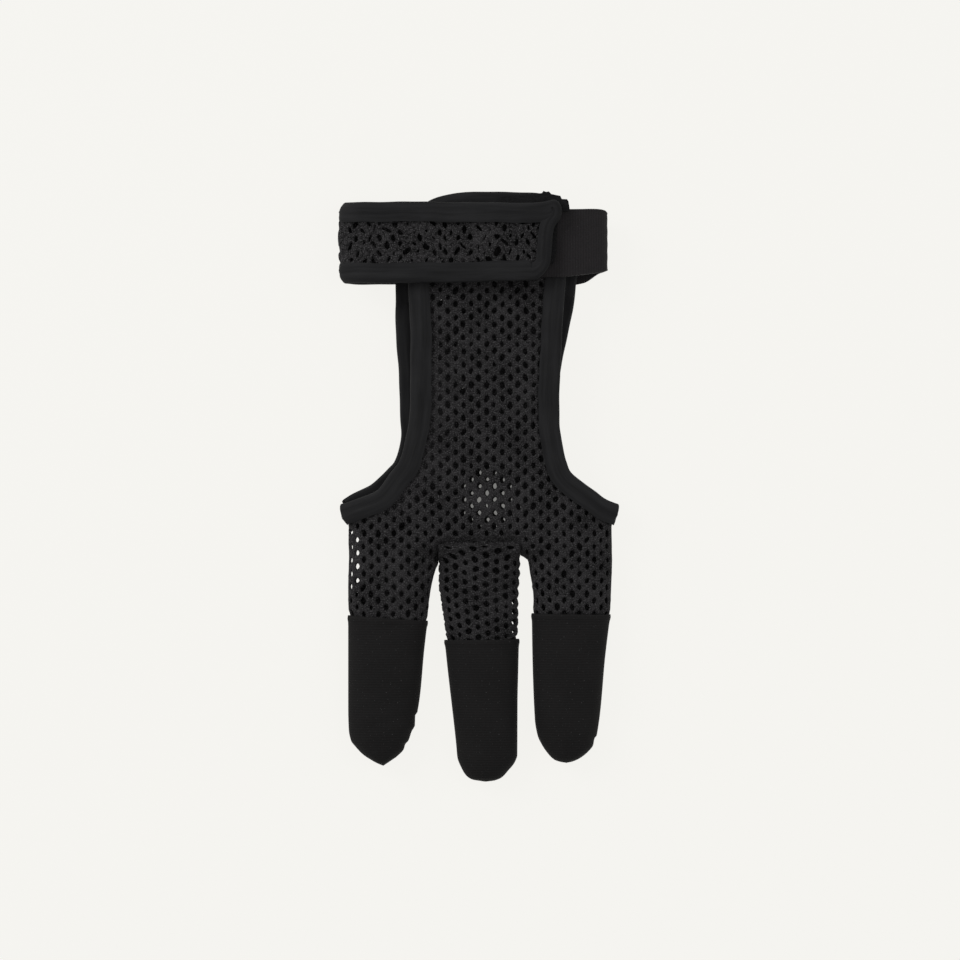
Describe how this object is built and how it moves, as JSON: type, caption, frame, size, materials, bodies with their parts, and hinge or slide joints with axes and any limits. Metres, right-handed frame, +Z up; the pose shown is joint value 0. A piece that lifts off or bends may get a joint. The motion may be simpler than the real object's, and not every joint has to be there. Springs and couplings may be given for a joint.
{
  "type": "archery glove",
  "caption": "Open-backed black net archery glove with closed fingertip stalls, taped edges and a hook-and-loop wrist strap with an elastic end.",
  "frame": {"origin": "on the surface that the glove lies on, under the middle of its outline", "axes": "+Z up from that surface, through the palm to the back of the hand; +Y from the fingertips to the wrist; +X to the right seen from above"},
  "size_m": [0.1015, 0.2132, 0.0204],
  "materials": {
    "net": "open warp-knitted polyester net, matt",
    "edge_tape": "smooth stretch binding tape, folded over the edge",
    "stall_cloth": "dense elastic knit with fine cross ribs",
    "elastic": "woven elastic with fine ribs along its width",
    "hook_tape": "stiff hook tape, cut ragged"
  },
  "bodies": {
    "root": {"back_panel": "net", "palm_panel": "net", "middle_finger_net": "net", "index_stall": "stall_cloth", "middle_stall": "stall_cloth", "ring_stall": "stall_cloth", "back_edge_tape": "edge_tape", "palm_edge_tape_left": "edge_tape", "palm_edge_tape_right": "edge_tape", "strap_net": "net", "strap_edge_tape": "edge_tape", "elastic_band": "elastic", "hook_patch": "hook_tape"}
  },
  "joints": []
}
